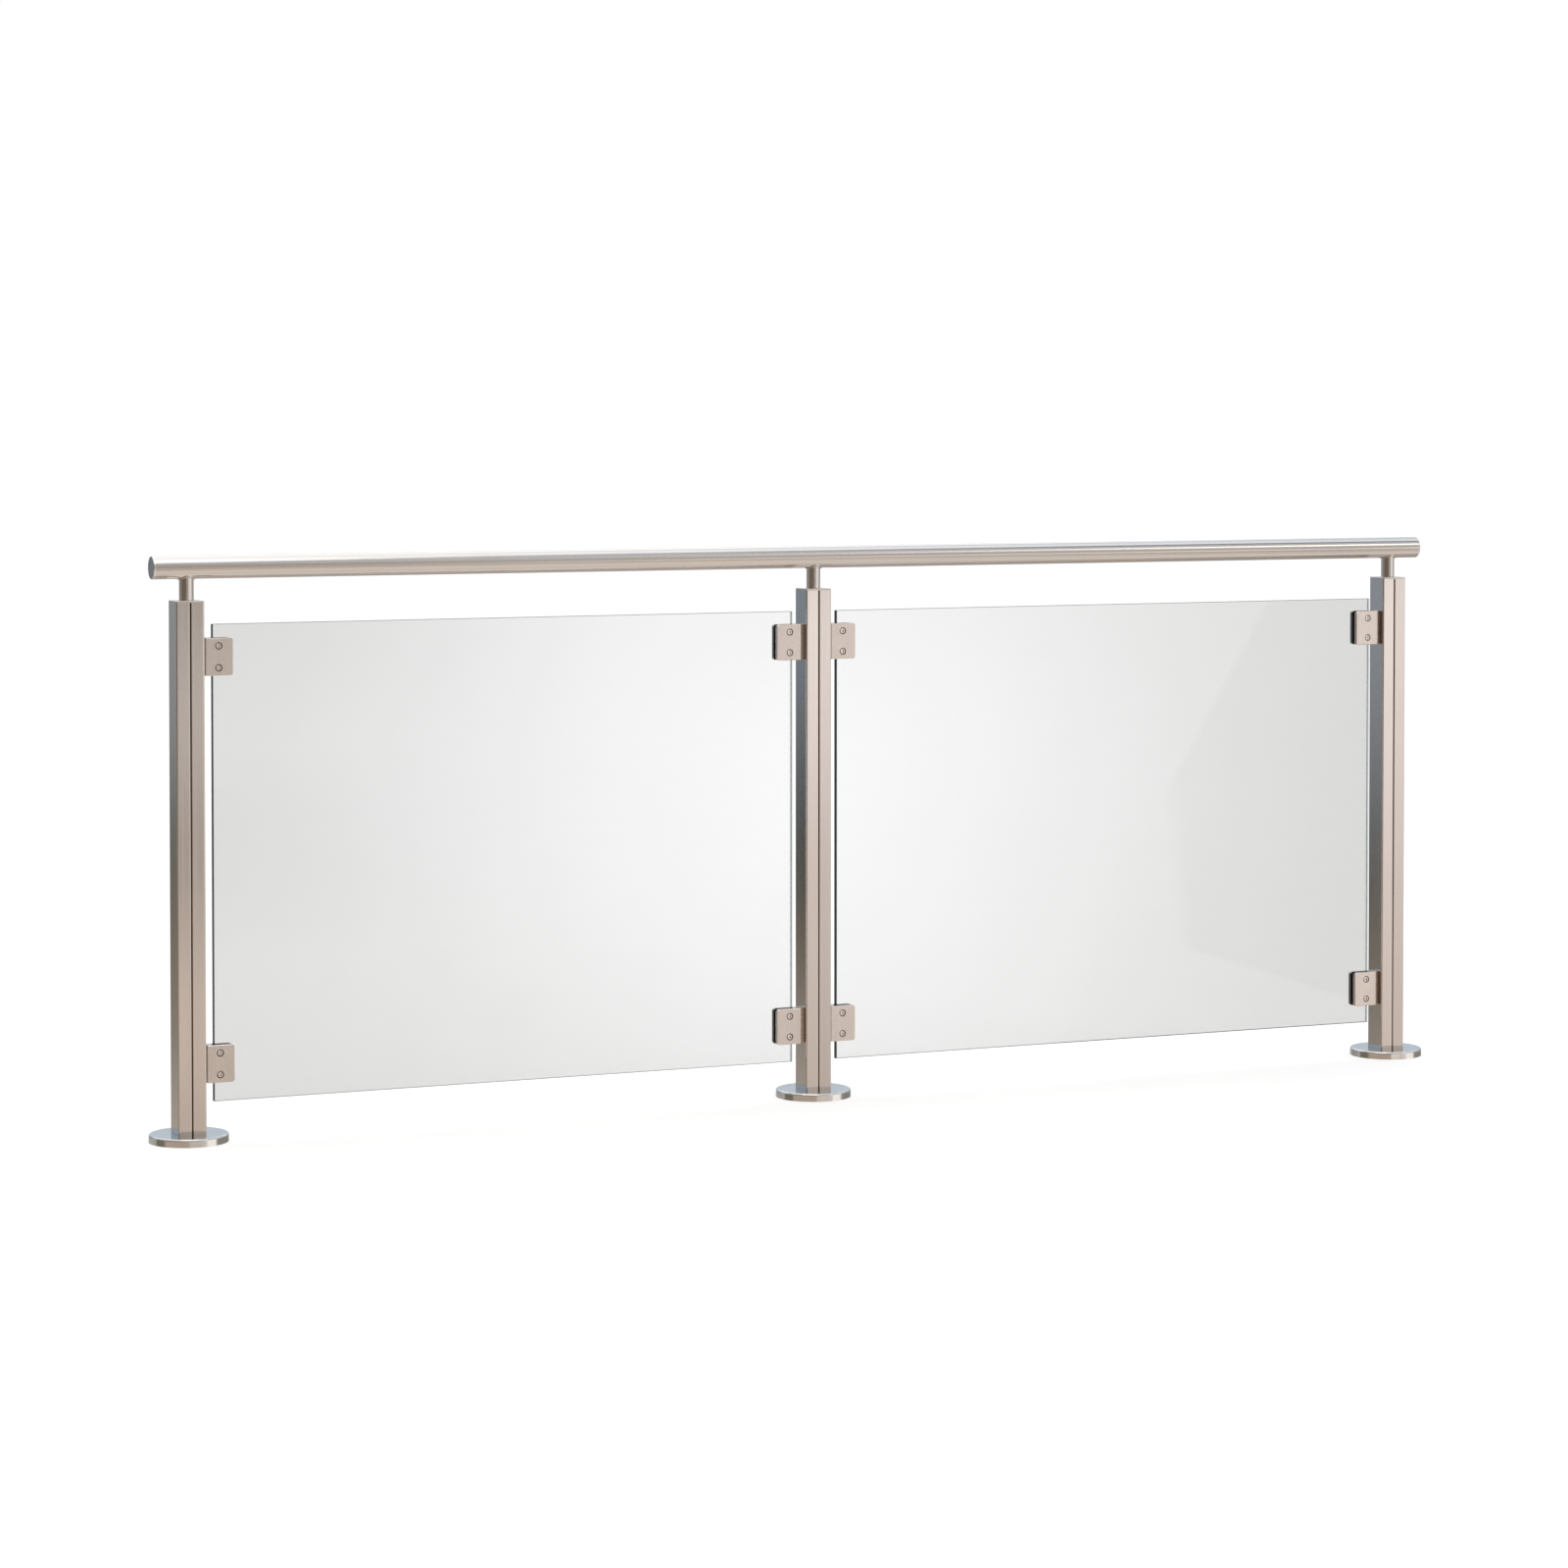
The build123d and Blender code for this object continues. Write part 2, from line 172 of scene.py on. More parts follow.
# Studio walls round the part, later ones over earlier ones: middle and half width in degrees round from the
# front (+X side positive), soft edge, height in degrees above which the white backdrop shows in metal, and
# tones from the floor up as (degrees up, colour).
STUDIO_WALLS = {
    "round": (0, 180, 1, 66, (
        (-90, (0.62, 0.56, 0.51)), (-40, (0.60, 0.54, 0.49)), (-12, (0.45, 0.42, 0.385)),
        (-4, (0.42, 0.41, 0.40)), (10, (0.50, 0.52, 0.54)), (40, (0.75, 0.78, 0.82)),
        (66, (1.10, 1.11, 1.12)))),
    "back": (180, 38, 6, 66, (
        (-90, (0.45, 0.41, 0.38)), (-30, (0.47, 0.43, 0.40)), (-12, (0.46, 0.46, 0.46)),
        (0, (0.48, 0.53, 0.59)), (9, (0.49, 0.56, 0.63)), (16, (0.62, 0.68, 0.74)),
        (30, (0.68, 0.72, 0.76)), (60, (0.74, 0.76, 0.79)), (70, (1.00, 1.01, 1.02)))),
    "back_left": (-154, 20, 6, 42, (
        (-90, (0.45, 0.41, 0.38)), (-16, (0.47, 0.44, 0.39)), (-9.5, (0.46, 0.44, 0.40)),
        (-8, (0.19, 0.17, 0.13)), (-6.2, (0.02, 0.02, 0.015)), (-4.6, (0.14, 0.17, 0.20)),
        (-3, (0.22, 0.28, 0.34)), (0, (0.28, 0.34, 0.42)), (14, (0.34, 0.41, 0.50)),
        (30, (0.70, 0.78, 0.86)), (45, (1.10, 1.11, 1.12)))),
    "left_far": (-103, 20, 5, 60, (
        (-90, (0.50, 0.45, 0.40)), (-25, (0.32, 0.29, 0.24)), (-9, (0.17, 0.155, 0.115)),
        (-6, (0.18, 0.16, 0.13)), (-2, (0.26, 0.225, 0.19)), (12, (0.30, 0.27, 0.24)),
        (30, (0.45, 0.44, 0.43)), (60, (0.90, 0.90, 0.90)))),
    "left_near": (-50, 38, 6, 62, (
        (-90, (0.62, 0.55, 0.49)), (-30, (0.52, 0.43, 0.36)), (-9, (0.46, 0.37, 0.30)),
        (-6, (0.30, 0.24, 0.18)), (-3, (0.10, 0.075, 0.055)), (8, (0.11, 0.09, 0.07)),
        (22, (0.35, 0.32, 0.29)), (45, (0.55, 0.52, 0.50)), (62, (0.90, 0.90, 0.90)))),
    "front": (3, 16, 4, 66, (
        (-90, (0.72, 0.64, 0.57)), (-40, (0.66, 0.58, 0.50)), (-12, (0.40, 0.34, 0.28)),
        (-10.3, (0.46, 0.39, 0.32)), (-9, (0.86, 0.76, 0.68)), (-7.5, (0.99, 0.87, 0.78)),
        (-6.7, (0.12, 0.10, 0.08)), (-5.5, (0.02, 0.015, 0.01)), (-4.8, (0.96, 0.91, 0.87)),
        (-4.2, (0.84, 0.80, 0.76)), (-3, (0.24, 0.22, 0.19)), (6, (0.36, 0.335, 0.305)),
        (20, (0.42, 0.385, 0.35)), (45, (0.40, 0.385, 0.375)), (56, (0.52, 0.52, 0.52)),
        (64, (0.90, 0.90, 0.90)))),
    "front_right": (46, 26, 3, 68, (
        (-90, (0.76, 0.69, 0.64)), (-66, (0.74, 0.67, 0.62)), (-60, (0.66, 0.60, 0.55)),
        (-50, (0.82, 0.75, 0.70)), (-33, (0.68, 0.62, 0.57)), (-16, (0.44, 0.41, 0.38)),
        (-11, (0.44, 0.39, 0.35)), (-9, (0.74, 0.67, 0.62)), (-6.5, (0.84, 0.78, 0.76)),
        (-4.8, (1.00, 0.95, 0.94)), (-2.8, (1.18, 1.13, 1.12)), (-1.5, (1.00, 0.96, 0.94)),
        (0.5, (0.56, 0.53, 0.50)), (8, (0.54, 0.51, 0.48)), (30, (0.56, 0.55, 0.54)),
        (42, (0.58, 0.58, 0.59)), (54, (0.56, 0.58, 0.62)), (60, (0.62, 0.67, 0.74)),
        (65, (0.86, 0.91, 0.98)))),
    "right": (108, 34, 6, 66, (
        (-90, (0.74, 0.67, 0.62)), (-66, (0.70, 0.64, 0.59)), (-58, (0.44, 0.40, 0.37)),
        (-30, (0.34, 0.31, 0.28)), (-14, (0.26, 0.24, 0.21)), (-8, (0.26, 0.24, 0.21)),
        (-3, (0.46, 0.45, 0.44)), (2, (0.46, 0.46, 0.45)), (12, (0.42, 0.48, 0.55)),
        (26, (0.60, 0.70, 0.82)), (48, (0.68, 0.77, 0.88)), (57, (0.86, 0.94, 1.04)),
        (64, (1.04, 1.08, 1.12)))),
}

# Soft edge in degrees at the height where a wall gives way to the backdrop
WALL_TOP_EDGE = 5

# Cards and soft boxes in front of those walls: middle and half width round, middle and half height, soft
# edge, tone
STUDIO_BOXES = {
    "ceiling": (0, 180, 80, 14, 3, (1.25, 1.25, 1.25)),
    "front_ceiling": (12, 24, 72, 7, 2, (1.35, 1.35, 1.35)),
    "back_box": (158, 14, 43, 23, 4, (1.35, 1.35, 1.35)),
    "streak_box": (38, 5, 30, 6, 3, (2.30, 2.26, 2.20)),
    "dark_card": (60, 12, 55, 4.5, 2, (0.20, 0.23, 0.28)),
    "floor_card": (24, 6, -32, 15, 5, (0.82, 0.72, 0.64)),
    "low_card": (54, 16, -12, 6, 4, (1.02, 0.96, 0.90)),
    "rail_card": (74, 16, -70, 5, 3, (0.90, 0.83, 0.77)),
    "middle_card": (24, 3.5, -3.4, 1.6, 1.5, (1.26, 1.20, 1.18)),
    "post_card": (24, 3.5, -6.3, 0.9, 1.0, (0.74, 0.68, 0.65)),
    "grey_card": (-168, 5, -3.6, 2, 1.3, (0.33, 0.34, 0.33)),
    "brown_card": (-168, 5, -7.7, 1.5, 1, (0.24, 0.22, 0.175)),
    "blue_card": (-146, 4.5, -3.4, 1.7, 2, (0.34, 0.38, 0.44)),
    "edge_card": (-134, 5, 0, 8, 4, (0.40, 0.38, 0.35)),
}


class Graph:
    """Short helpers over one node tree."""

    def __init__(self, tree):
        self.tree = tree
        tree.nodes.clear()

    def add(self, kind, **settings):
        node = self.tree.nodes.new(kind)
        for name, value in settings.items():
            setattr(node, name, value)
        return node

    def wire(self, source, target):
        """Links a socket, or writes a plain value, into the target socket."""
        if isinstance(source, bpy.types.NodeSocket):
            self.tree.links.new(source, target)
        else:
            target.default_value = source

    def math(self, operation, *values):
        node = self.add("ShaderNodeMath", operation=operation)
        for socket, value in zip(node.inputs, values):
            self.wire(value, socket)
        return node.outputs[0]

    def vector(self, operation, *values):
        node = self.add("ShaderNodeVectorMath", operation=operation)
        for socket, value in zip(node.inputs, values):
            self.wire(value, socket)
        return node.outputs["Value"] if operation in ("DOT_PRODUCT", "LENGTH") else node.outputs["Vector"]

    def along(self, vector, axis):
        """How far the vector reaches along the axis."""
        return self.vector("DOT_PRODUCT", vector, axis)

    def smooth(self, value, low, high, start=0.0, end=1.0):
        """Value from low to high, eased to the range from start to end."""
        node = self.add("ShaderNodeMapRange", interpolation_type="SMOOTHSTEP")
        for socket, number in zip(node.inputs, (value, low, high, start, end)):
            self.wire(number, socket)
        return node.outputs["Result"]

    def blend(self, factor, first, second):
        """Colour between first and second."""
        node = self.add("ShaderNodeMix", data_type="RGBA")
        self.wire(factor, node.inputs["Factor"])
        self.wire((*first, 1.0) if isinstance(first, tuple) else first, node.inputs["A"])
        self.wire((*second, 1.0) if isinstance(second, tuple) else second, node.inputs["B"])
        return node.outputs["Result"]

    def mottle(self, share, colour, tones, contrast=1.0):
        """Colour that goes from a little darker to a little lighter with the share."""
        darker, lighter = tones
        dark = scaled(colour, 1 - darker * contrast)
        return self.blend(share, dark, scaled(colour, 1 + lighter * contrast))

    def gloss(self, noise, span, roughness, swing, contrast=1.0):
        """Roughness that swings down and up a little over this stretch of the noise."""
        down, up = swing
        return self.smooth(noise, *span, roughness - down * contrast, roughness + up * contrast)

    def noise(self, vector, scale, detail=2.0, roughness=0.5):
        node = self.add("ShaderNodeTexNoise")
        self.wire(vector, node.inputs["Vector"])
        self.wire(scale, node.inputs["Scale"])
        self.wire(detail, node.inputs["Detail"])
        self.wire(roughness, node.inputs["Roughness"])
        return node.outputs["Fac"]

    def line(self, distance):
        """Place on a straight line, for a noise that changes in one direction only."""
        node = self.add("ShaderNodeCombineXYZ")
        self.wire(distance, node.inputs["X"])
        return node.outputs["Vector"]

    def place(self, kind="Object"):
        return self.add("ShaderNodeTexCoord").outputs[kind]

    def principled(self, **sockets):
        """Principled shader with these values. An underscore stands for the blank in a socket's name."""
        shader = self.add("ShaderNodeBsdfPrincipled")
        for name, value in sockets.items():
            self.wire(value, shader.inputs[name.replace("_", " ")])
        return shader

    def show(self, surface, kind="ShaderNodeOutputMaterial"):
        """Wires the surface to a new output node, and returns that node."""
        output = self.add(kind)
        self.wire(surface, output.inputs["Surface"])
        return output


def scaled(colour, share):
    return tuple(channel * share for channel in colour)


def new_material(name):
    material = bpy.data.materials.new(name)
    material.use_nodes = True
    return material, Graph(material.node_tree)


def metal_shader(graph, colour, roughness, anisotropy=0.0, turn=0.0, tangent_axis="Z", bump=None,
                 relief_share=1.0):
    """Principled metal with its grain direction, wired to the output."""
    shader = graph.principled(Metallic=1.0, Anisotropic=anisotropy, Anisotropic_Rotation=turn,
                              Base_Color=colour, Roughness=roughness)
    tangent = graph.add("ShaderNodeTangent", direction_type="RADIAL", axis=tangent_axis)
    graph.wire(tangent.outputs["Tangent"], shader.inputs["Tangent"])
    if bump is not None:
        relief = graph.add("ShaderNodeBump")
        relief.inputs["Strength"].default_value = RELIEF_STRENGTH * relief_share
        relief.inputs["Distance"].default_value = RELIEF_DISTANCE
        graph.wire(bump, relief.inputs["Height"])
        graph.wire(relief.outputs["Normal"], shader.inputs["Normal"])
    graph.show(shader.outputs["BSDF"])


def seam_shade_share(graph, here):
    """Share of painted shade: one in the grooves between the tubes of each post, nought beside them."""
    near = None
    for place, reach in SHADED_SEAMS:
        beside = graph.vector("SUBTRACT", here, (place, 0.0, 0.0))
        gap = graph.math("ABSOLUTE", graph.along(beside, X_AXIS))
        dark = graph.smooth(gap, SEAM_INNER, reach, 1.0, 0.0)
        near = dark if near is None else graph.math("MAXIMUM", near, dark)
    return near


def brushed_metal(name, colour, roughness, along, anisotropy, turn, contrast, seam_shading=False):
    """Steel with a fine grain along one axis and faint longer streaks in its tone, and painted shade in the
    grooves of the posts where asked.
    """
    material, graph = new_material(name)
    here = graph.place()
    grain_scale = tuple(GRAIN_ALONG if axis == along else GRAIN_ACROSS for axis in "XYZ")
    streak_scale = tuple(STREAKS_ALONG if axis == along else STREAKS_ACROSS for axis in "XYZ")
    grain = graph.noise(graph.vector("MULTIPLY", here, grain_scale), 1.0, detail=3.0, roughness=0.6)
    streaks = graph.noise(graph.vector("MULTIPLY", here, streak_scale), 1.0)
    clouds = graph.noise(here, BRUSHED_CLOUDS)
    tone = graph.math("ADD", graph.math("MULTIPLY", streaks, 0.5), graph.math("MULTIPLY", grain, 0.5))
    mixed = graph.mottle(graph.smooth(tone, *TONE_SPAN), colour, BRUSHED_TONES, contrast)
    wear_and_seam_shade = graph.blend(graph.smooth(clouds, *CLOUD_SPAN), mixed, scaled(colour, BRUSHED_CLOUD_SHARE))
    # Painted shade in the grooves between the tubes of the posts
    if seam_shading:
        wear_and_seam_shade = graph.blend(seam_shade_share(graph, here), wear_and_seam_shade, SEAM_SHADE)
    gloss = graph.gloss(tone, GLOSS_SPAN, roughness, BRUSHED_GLOSS, contrast)
    metal_shader(graph, wear_and_seam_shade, gloss, anisotropy, turn, along, grain, contrast)
    return material


def turned_metal(name, colour, roughness, anisotropy):
    """Polished steel with faint rings round its own upright axis."""
    material, graph = new_material(name)
    centred = graph.vector("SUBTRACT", graph.place("Generated"), (0.5, 0.5, 0.5))
    radius = graph.vector("LENGTH", graph.vector("MULTIPLY", centred, (1.0, 1.0, 0.0)))
    rings = graph.noise(graph.line(radius), COVER_RINGS)
    smears = graph.noise(graph.place(), COVER_SMEARS)
    mixed = graph.mottle(graph.smooth(rings, *TONE_SPAN), colour, COVER_TONES)
    gloss = graph.gloss(smears, SMEAR_SPAN, roughness, COVER_GLOSS)
    metal_shader(graph, mixed, gloss, anisotropy, bump=rings)
    return material


def sunk_share(graph, here, depth, reach):
    """One on faces that look to the front this deep along Y, nought elsewhere."""
    away = graph.math("ABSOLUTE", graph.math("SUBTRACT", graph.along(here, Y_AXIS), depth))
    ahead = graph.along(graph.place("Normal"), scaled(Y_AXIS, -1.0))
    level = graph.smooth(away, reach, 2 * reach, 1.0, 0.0)
    return graph.math("MULTIPLY", level, graph.smooth(ahead, *LOOKS_AHEAD))


def satin_metal(name, colour, roughness, side_shade_share=1.0, sides=ENDS_ALONG_X):
    """Satin steel with a fine even grit, with painted shade on its sides and in the seats of the screws."""
    material, graph = new_material(name)
    here = graph.place()
    grit = graph.noise(here, SATIN_GRIT, detail=3.0, roughness=0.6)
    clouds = graph.noise(here, SATIN_CLOUDS)
    mixed = graph.mottle(graph.smooth(grit, *TONE_SPAN), colour, SATIN_TONES)
    cloudy = graph.blend(graph.smooth(clouds, *CLOUD_SPAN), mixed, scaled(colour, SATIN_CLOUD_SHARE))
    side_axis, side_span = sides
    sideways = graph.math("ABSOLUTE", graph.along(graph.place("Normal"), side_axis))
    # Painted shade on the sides that the axis picks out
    side_shaded = graph.blend(graph.smooth(sideways, *side_span), cloudy, scaled(colour, side_shade_share))
    # Painted shade in the seats of the screw bores
    seat_shaded = graph.blend(sunk_share(graph, here, SEAT_DEPTH, SEAT_REACH), side_shaded, SUNK_SHADE)
    gloss = graph.gloss(grit, GLOSS_SPAN, roughness, SATIN_GLOSS)
    metal_shader(graph, seat_shaded, gloss, bump=grit)
    return material


def screw_metal(name, colour, roughness):
    """Bright screws, with a painted highlight at the bottom of their sockets and painted shade down their
    sides.
    """
    material, graph = new_material(name)
    here = graph.place()
    grit = graph.noise(here, SCREW_GRIT)
    mixed = graph.mottle(graph.smooth(grit, *TONE_SPAN), colour, SCREW_TONES)
    # Painted highlight at the bottom of the sockets
    socket = graph.blend(sunk_share(graph, here, SOCKET_DEPTH, SOCKET_REACH), mixed, SOCKET_HIGHLIGHT)
    ahead = graph.math("ABSOLUTE", graph.along(graph.place("Normal"), Y_AXIS))
    # Painted shade down the screws' sides
    side_shaded = graph.blend(graph.smooth(ahead, *SIDE_TO_HEAD), SUNK_SHADE, socket)
    gloss = graph.gloss(grit, TONE_SPAN, roughness, SCREW_GLOSS)
    metal_shader(graph, side_shaded, gloss, tangent_axis="Y")
    return material


def clear_sheet(name):
    """Clear cast sheet with painted shade: greyer towards the outer posts and its foot, with a dark strip at
    each end.
    """
    material, graph = new_material(name)
    here = graph.place()
    height = graph.along(here, Z_AXIS)
    from_middle = graph.vector("MULTIPLY", graph.vector("SUBTRACT", here, PANEL_MIDDLE), (1.0, 0.0, 1.0))
    bands = graph.noise(graph.line(graph.along(here, PANEL_BAND_SLANT)), PANEL_BANDS, detail=1.0)
    # Noise and slanted bands that wobble the edge of the painted shade
    shade_wobble = graph.math("ADD", graph.noise(here, PANEL_SHADE_NOISE), bands)
    fall = graph.smooth(graph.along(here, X_AXIS), *FOOT_HALVING, 1.0, 0.5)
    # Painted shade, greyer and darker towards the foot
    foot_grey = graph.smooth(height, 0.0, FOOT_GREY_HEIGHT, FOOT_GREY_REACH, 0.0)
    foot_dark = graph.smooth(height, 0.0, FOOT_DARK_HEIGHT, FOOT_DARK_SHARE, 0.0)
    reach = graph.vector("LENGTH", from_middle)
    reach = graph.math("ADD", reach, graph.math("MULTIPLY", shade_wobble, PANEL_SHADE_WOBBLE))
    reach = graph.math("ADD", reach, graph.math("MULTIPLY", fall, foot_grey))
    # Painted shade: greyer away from the clearest place
    tint = graph.blend(graph.smooth(reach, *PANEL_FADE), PANEL_CLEAR, PANEL_GREY)
    tint = graph.blend(graph.math("MULTIPLY", fall, foot_dark), tint, BLACK)
    sheen = SHEEN_SHARE
    for inward, distance, edge in SHEEN_SIDES:
        inside = graph.smooth(graph.along(here, inward), distance - edge, distance + edge)
        sheen = graph.math("MULTIPLY", sheen, inside)
    tint = graph.blend(sheen, tint, BLACK)
    share = graph.along(graph.place("Generated"), X_AXIS)
    # Painted shade in a strip at each end of the clear faces
    tint = graph.blend(graph.smooth(share, *LEFT_STRIP, 1.0, 0.0), tint, PANEL_LEFT_END)
    tint = graph.blend(graph.smooth(share, *RIGHT_STRIP), tint, PANEL_RIGHT_GLIMPSE)
    shader = graph.principled(Base_Color=tint, Roughness=0.0, IOR=PANEL_IOR, Transmission_Weight=1.0)
    depth = graph.add("ShaderNodeVolumeAbsorption")
    depth.inputs["Color"].default_value = (*PANEL_ABSORB_COLOUR, 1.0)
    depth.inputs["Density"].default_value = PANEL_ABSORB_DENSITY
    output = graph.show(shader.outputs["BSDF"])
    graph.wire(depth.outputs["Volume"], output.inputs["Volume"])
    return material


def ground_rim(name):
    """Ground rims of a clear sheet: dark green to the left with painted shade, teal to the right, olive grey
    above.
    """
    material, graph = new_material(name)
    sideways = graph.along(graph.place("Normal"), X_AXIS)
    end_tint = graph.blend(graph.smooth(sideways, *RIM_LEFT_TO_RIGHT), PANEL_LEFT_END, PANEL_RIGHT_END)
    to_end = graph.smooth(graph.math("ABSOLUTE", sideways), *RIM_TOP_TO_END)
    tint = graph.blend(to_end, PANEL_TOP_RIM, end_tint)
    grind = graph.noise(graph.place(), RIM_GRIND)
    shader = graph.principled(Base_Color=tint, Roughness=graph.smooth(grind, *TONE_SPAN, *RIM_ROUGHNESS))
    graph.show(shader.outputs["BSDF"])
    return material


def soft_rubber(name):
    """Dark rubber with a dusty, slightly uneven skin."""
    material, graph = new_material(name)
    specks = graph.noise(graph.place(), RUBBER_SPECKS)
    colour = graph.blend(graph.smooth(specks, *SPECK_SPAN), RUBBER_DARK, RUBBER_DUSTY)
    roughness = graph.smooth(specks, *TONE_SPAN, *RUBBER_ROUGHNESS)
    shader = graph.principled(Base_Color=colour, Roughness=roughness)
    graph.show(shader.outputs["BSDF"])
    return material


def dress(material, *endings):
    """Gives the material to every CAD node whose name has one of these endings."""
    for name, node in nodes.items():
        if name.endswith(endings):
            node.data.materials.clear()
            node.data.materials.append(material)


def dress_panel(clear, rim, name):
    """Makes a panel clear, but for its left end, its top and the arrises of its ends and top."""
    panel = nodes[name]
    dress(clear, name)
    panel.data.materials.append(rim)
    for face in panel.data.polygons:
        facing = face.normal
        is_clear = abs(facing.y) > FACES_ALONG or facing.x > FACES_ALONG or facing.z < FACES_DOWN
        face.material_index = 0 if is_clear else 1
    panel.visible_shadow = False


def make_materials():
    flat_grain = {"along": "Z", "anisotropy": 0.5, "turn": 0.0, "contrast": 0.6, "seam_shading": True}
    round_grain = {"anisotropy": 0.4, "turn": 0.25, "contrast": 0.4}
    tubes = brushed_metal("brushed_steel", POST_STEEL, roughness=0.15, **flat_grain)
    # Painted shade: the second tubes of the middle and right posts get a darker copy of the post steel
    shade = scaled(POST_STEEL, SHADED_TUBE_SHARE)
    shaded_tubes = brushed_metal("shaded_steel", shade, roughness=0.15, **flat_grain)
    rail = brushed_metal("rail_steel", RAIL_STEEL, roughness=0.18, along="X", **round_grain)
    stems = brushed_metal("stem_steel", RAIL_STEEL, roughness=0.17, along="Z", **round_grain)
    screws = screw_metal("screw_steel", SCREW_STEEL, roughness=0.25)
    clamps = satin_metal("clamp_steel", CLAMP_STEEL, roughness=0.25, side_shade_share=0.35)
    plates = satin_metal("plate_steel", CLAMP_STEEL, roughness=0.25, side_shade_share=0.30, sides=ALL_ROUND_Y)
    dress(tubes, "post_tube_1", "post_tube_2")
    dress(shaded_tubes, "middle_post_tube_2", "right_post_tube_2")
    dress(satin_metal("cap_steel", POST_STEEL, roughness=0.30), "post_cap")
    dress(rail, "handrail_tube", "saddle")
    dress(satin_metal("plug_steel", PLUG_STEEL, roughness=0.24, side_shade_share=0.52), "plug_left", "plug_right")
    dress(stems, "stem")
    dress(clamps, "clamp_back")
    dress(plates, "clamp_front")
    dress(soft_rubber("pad_rubber"), "clamp_pads")
    dress(turned_metal("polished_steel", COVER_STEEL, roughness=0.12, anisotropy=0.3), "base_cover")
    dress(satin_metal("foot_steel", FOOT_STEEL, roughness=0.4), "base_plate")
    dress(screws, "clamp_screws", "mounting_screws", "blind_nuts")
    clear = clear_sheet("clear_panel")
    rim = ground_rim("panel_rim")
    for name in ("left_panel", "right_panel"):
        dress_panel(clear, rim, name)


def make_floor():
    """Pale floor that keeps the part's soft shadow. Metal reflects the studio's own floor tones instead."""
    side = FLOOR_HALF_SIDE
    corners = [(-side, -side, 0), (side, -side, 0), (side, side, 0), (-side, side, 0)]
    mesh = bpy.data.meshes.new("studio_floor")
    mesh.from_pydata(corners, [], [(0, 1, 2, 3)])
    floor = bpy.data.objects.new("studio_floor", mesh)
    floor.visible_glossy = False
    bpy.context.scene.collection.objects.link(floor)
    material, graph = new_material("studio_floor")
    paint = graph.add("ShaderNodeBsdfDiffuse")
    mottle = graph.noise(graph.place(), FLOOR_MOTTLE)
    graph.wire(graph.mottle(mottle, FLOOR_COLOUR, FLOOR_TONES), paint.inputs["Color"])
    glow = graph.add("ShaderNodeEmission")
    rays = graph.add("ShaderNodeLightPath").outputs
    seen = graph.math("MAXIMUM", rays["Is Camera Ray"], rays["Is Transmission Ray"])
    graph.wire(graph.math("MULTIPLY", seen, FLOOR_OWN_WHITE), glow.inputs["Strength"])
    both = graph.add("ShaderNodeAddShader")
    graph.wire(paint.outputs["BSDF"], both.inputs[0])
    graph.wire(glow.outputs["Emission"], both.inputs[1])
    graph.show(both.outputs["Shader"])
    mesh.materials.append(material)


def direction(around):
    """Level unit vector, around degrees from the front towards +X."""
    turned = math.radians(around)
    return (math.sin(turned), -math.cos(turned), 0.0)


def wall_tone(graph, height, stops):
    """Colour of a studio wall at this height, in radians, eased between its stops."""
    ramp = graph.add("ShaderNodeValToRGB")
    graph.wire(graph.smooth(height, -math.pi / 2, math.pi / 2), ramp.inputs["Fac"])
    marks = ramp.color_ramp.elements
    while len(marks) < len(stops):
        marks.new(1.0)
    # The height is eased above, so each stop is placed along the same curve.
    for mark, (up, colour) in zip(marks, stops):
        share = (up + 90) / 180
        mark.position = share * share * (3 - 2 * share)
        mark.color = (*colour, 1.0)
    return ramp.outputs["Color"]


def soft_span(graph, value, half, edge):
    """One where the value, in radians, is under half degrees, nought past it, with a soft edge."""
    return graph.smooth(value, math.radians(half - edge), math.radians(half + edge), 1.0, 0.0)


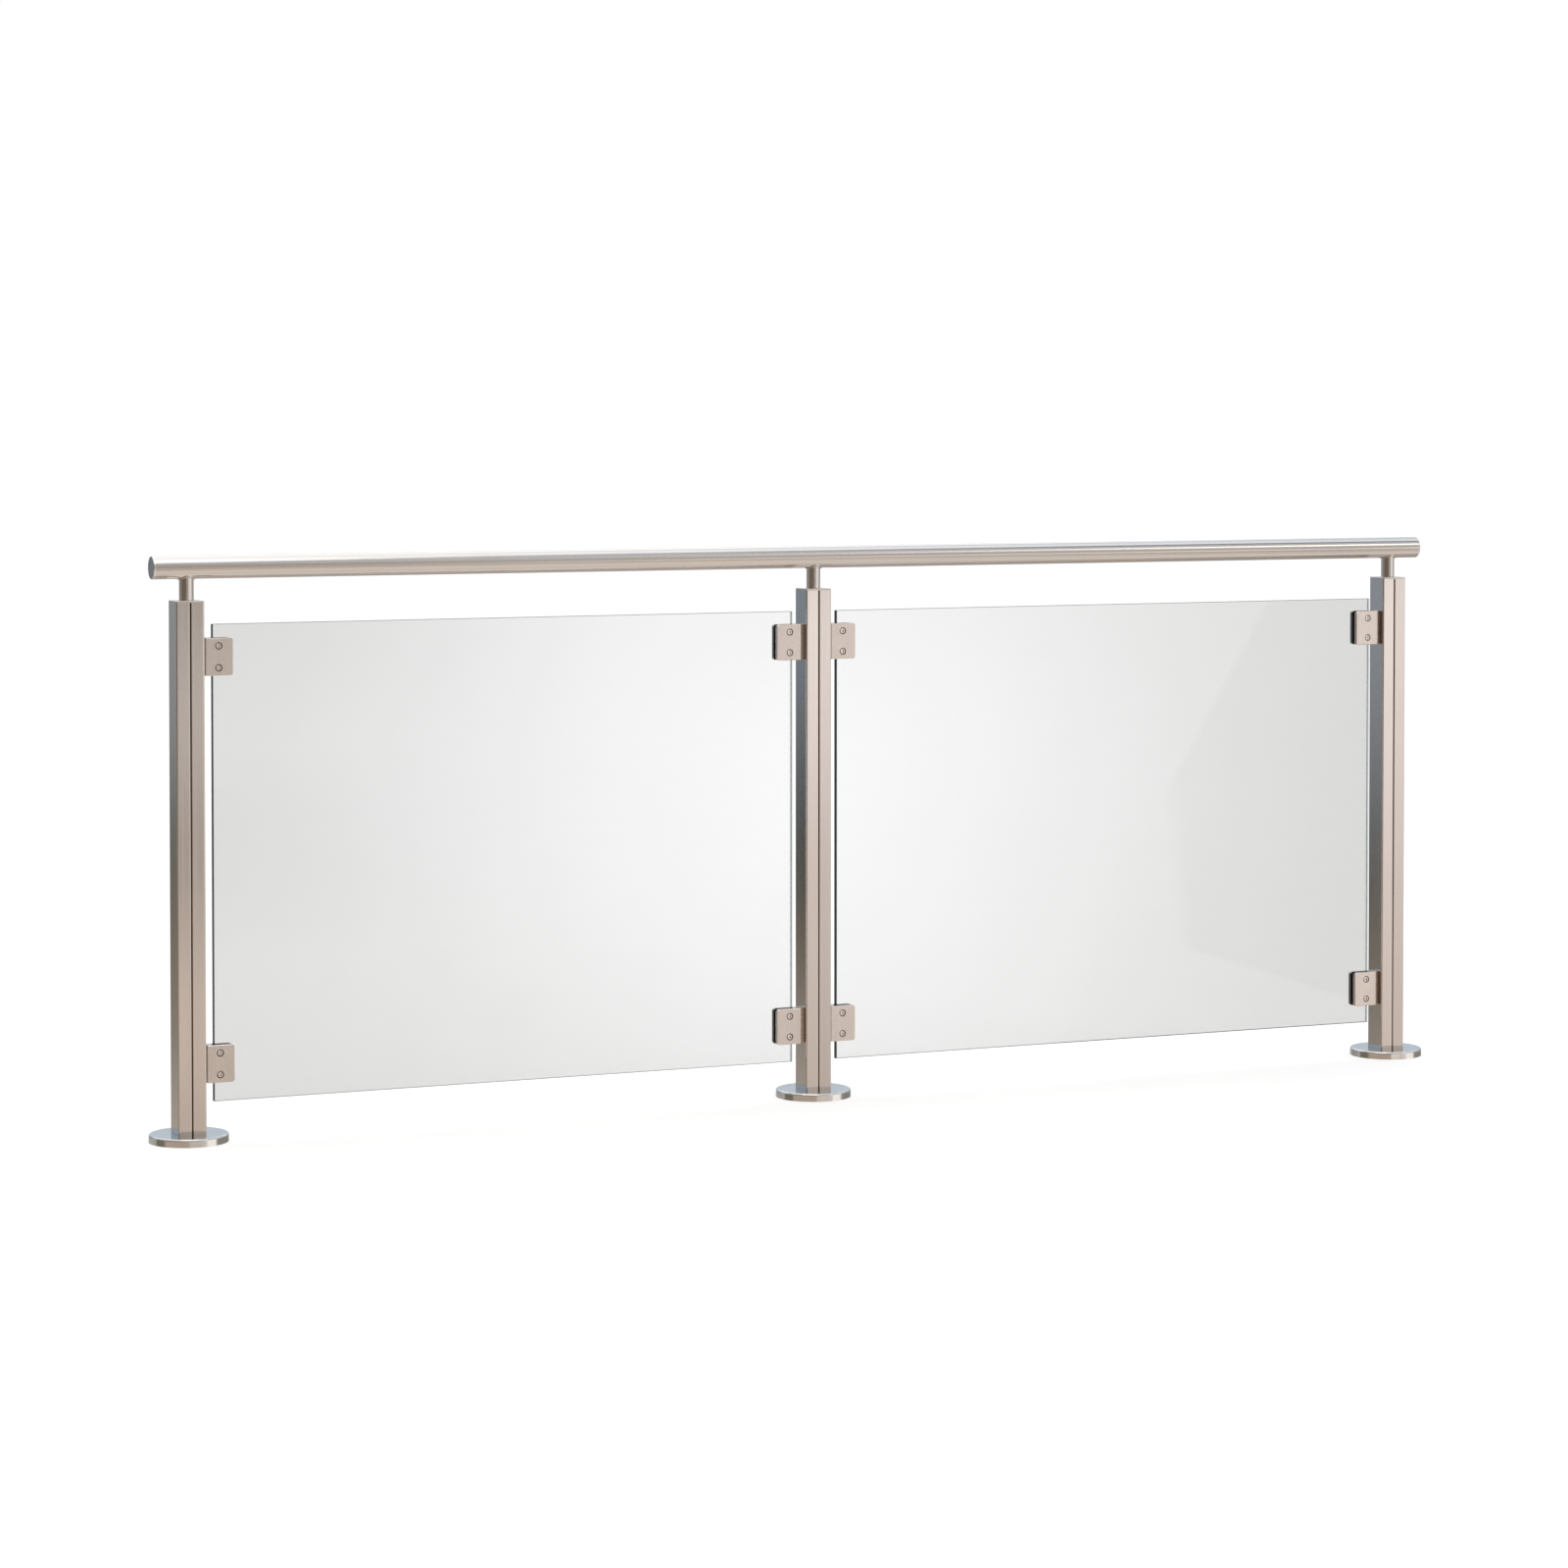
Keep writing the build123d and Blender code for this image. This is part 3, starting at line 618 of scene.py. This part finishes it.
def make_world():
    """White backdrop for the camera and the clear panels, and in metal wherever no studio wall hides it."""
    world = bpy.data.worlds.new("studio")
    world.use_nodes = True
    bpy.context.scene.world = world
    graph = Graph(world.node_tree)
    toward = graph.place("Generated")
    level = graph.vector("NORMALIZE", graph.vector("MULTIPLY", toward, (1.0, 1.0, 0.0)))
    height = graph.math("ARCSINE", graph.along(toward, Z_AXIS))
    # Bare is the share of the white backdrop that shows in metal.
    tone, bare = WHITE, 0.0
    for around, half_around, edge, top, stops in STUDIO_WALLS.values():
        turned = graph.math("ARCCOSINE", graph.along(level, direction(around)))
        beside = soft_span(graph, turned, half_around, edge)
        over = graph.smooth(height, math.radians(top - WALL_TOP_EDGE), math.radians(top + WALL_TOP_EDGE))
        tone = graph.blend(beside, tone, wall_tone(graph, height, stops))
        bare = graph.math("ADD", bare, graph.math("MULTIPLY", beside, graph.math("SUBTRACT", over, bare)))
    for around, half_around, up, half_up, edge, colour in STUDIO_BOXES.values():
        turned = graph.math("ARCCOSINE", graph.along(level, direction(around)))
        raised = graph.math("ABSOLUTE", graph.math("SUBTRACT", height, math.radians(up)))
        boxed = graph.math("MULTIPLY", soft_span(graph, turned, half_around, edge),
                           soft_span(graph, raised, half_up, edge))
        tone = graph.blend(boxed, tone, colour)
        bare = graph.math("MULTIPLY", bare, graph.math("SUBTRACT", 1.0, boxed))
    rays = graph.add("ShaderNodeLightPath").outputs
    plain = graph.math("MAXIMUM", rays["Is Camera Ray"], rays["Is Transmission Ray"])
    plain = graph.math("MAXIMUM", plain, graph.math("MULTIPLY", rays["Is Glossy Ray"], bare))
    sky = graph.add("ShaderNodeBackground")
    graph.wire(graph.blend(plain, tone, WHITE), sky.inputs["Color"])
    graph.show(sky.outputs["Background"], "ShaderNodeOutputWorld")


def make_lamp():
    """Large soft lamp that looks from its place towards its aim."""
    data = bpy.data.lights.new("top_box", "AREA")
    data.shape = "RECTANGLE"
    data.size = LAMP_WIDTH
    data.size_y = LAMP_DEPTH
    data.energy = LAMP_POWER
    lamp = bpy.data.objects.new("top_box", data)
    lamp.location = LAMP_PLACE
    lamp.rotation_euler = (Vector(LAMP_AIM) - Vector(LAMP_PLACE)).to_track_quat("-Z", "Y").to_euler()
    bpy.context.scene.collection.objects.link(lamp)


def make_camera():
    """Camera where the photograph was taken, shifted up as far as its framing needs."""
    data = bpy.data.cameras.new("photo_camera")
    data.sensor_width = CAMERA_SENSOR
    data.lens = FOCAL_PIXELS / IMAGE_SIZE * CAMERA_SENSOR
    data.shift_y = (OPTICAL_AXIS_Y - IMAGE_SIZE / 2) / IMAGE_SIZE
    camera = bpy.data.objects.new("photo_camera", data)
    camera.location = CAMERA_PLACE
    camera.rotation_euler = (math.pi / 2 - CAMERA_PITCH, 0.0, -CAMERA_YAW)
    bpy.context.scene.collection.objects.link(camera)
    bpy.context.scene.camera = camera


make_materials()
make_floor()
make_world()
make_lamp()
make_camera()
bpy.context.scene.view_settings.view_transform = "Standard"
